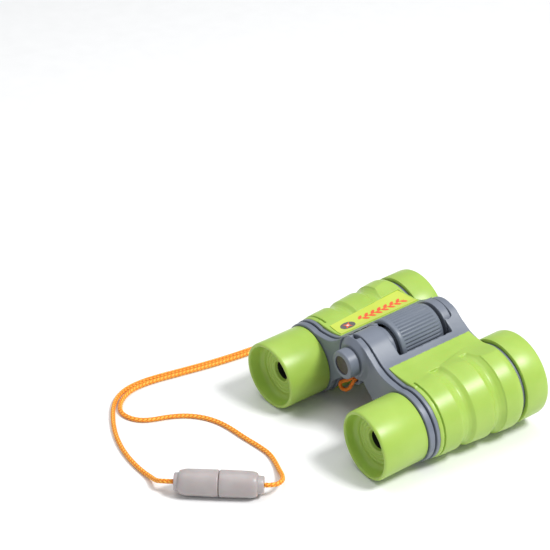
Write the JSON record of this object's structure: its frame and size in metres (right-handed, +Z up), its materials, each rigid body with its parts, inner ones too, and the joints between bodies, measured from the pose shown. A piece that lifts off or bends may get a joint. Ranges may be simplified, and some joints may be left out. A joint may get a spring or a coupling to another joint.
{
  "type": "binoculars",
  "caption": "Folding toy binoculars with green rubber armour, a ribbed central focus wheel, soft eyecups and an orange neck lanyard with a breakaway clasp.",
  "frame": {"origin": "on the table, under the middle of the binoculars without the lanyard", "axes": "+X across, towards the right barrel as the user looks through; +Y along the barrels towards the objectives (the barrels themselves rise 3.9 degrees towards +Y, as they lie on the table); +Z up"},
  "size_m": [0.1328, 0.1704, 0.046],
  "materials": {
    "grey_shell": "satin, fine moulded texture",
    "grey_wheel": "satin, ribbed",
    "green_rubber": "matte soft-touch",
    "black_plastic": "flat black",
    "lens_glass": "polished",
    "printed_plate": "printed, satin lacquer",
    "steel": "turned",
    "black_acetal": "black acetal",
    "brass": "turned",
    "bright_disc": "polished, dark tinted",
    "orange_cord": "braided, light flecks",
    "clasp_plastic": "translucent warm grey"
  },
  "bodies": {
    "left_half": {"clasp_plug": "clasp_plastic", "clasp_socket": "clasp_plastic", "front_hinge_bush": "steel", "front_thrust_washer": "black_acetal", "lanyard_bight": "orange_cord", "lanyard_knot": "orange_cord", "lanyard_strand_a": "orange_cord", "lanyard_strand_b": "orange_cord", "left_armour": "green_rubber", "left_baffle": "black_plastic", "left_hood": "green_rubber", "left_housing": "grey_shell", "left_lens_retainer": "black_plastic", "left_objective_lens": "lens_glass", "name_plate": "printed_plate", "rear_hinge_pin": "steel", "rear_pin_cap": "grey_shell", "rear_thrust_washer": "black_acetal"},
    "right_half": {"right_armour": "green_rubber", "right_baffle": "black_plastic", "right_hood": "green_rubber", "right_housing": "grey_shell", "right_lens_retainer": "black_plastic", "right_objective_lens": "lens_glass"},
    "focus_wheel": {"focus_nut": "brass", "focus_wheel": "grey_wheel"},
    "bridge": {"end_cap": "grey_shell", "end_cap_disc": "bright_disc", "focus_spindle": "steel", "left_bridge_arm": "grey_shell", "left_eye_lens": "lens_glass", "left_eye_lens_ring": "black_plastic", "left_eye_tube": "black_plastic", "left_eyecup": "green_rubber", "spindle_screw": "steel"},
    "bridge_right": {"right_bridge_arm": "grey_shell", "right_eye_lens": "lens_glass", "right_eye_lens_ring": "black_plastic", "right_eye_tube": "black_plastic", "right_eyecup": "green_rubber"}
  },
  "joints": [
    {"name": "fold", "type": "hinge", "parent": "left_half", "child": "right_half", "pos_m": [0, -0.01248, 0.03296], "axis": [0, 0.9976, 0.0695], "range_deg": [-20, 30]},
    {"name": "focus_turn", "type": "hinge", "parent": "left_half", "child": "focus_wheel", "pos_m": [0, 0.00747, 0.03435], "axis": [0, 0.9976, 0.0695], "range_deg": [0, 240]},
    {"name": "focus_slide", "type": "slide", "parent": "left_half", "child": "bridge", "axis": [0, -0.9976, -0.0695], "range_m": [0, 0.004]},
    {"name": "arm_fold", "type": "hinge", "parent": "bridge", "child": "bridge_right", "pos_m": [0, -0.02046, 0.0324], "axis": [0, 0.9976, 0.0695], "range_deg": [-20, 30]}
  ],
  "couplings": [
    {"joint": "focus_turn", "follows": "focus_slide", "rad_per_m": 1047},
    {"joint": "arm_fold", "follows": "fold", "ratio": 1}
  ]
}
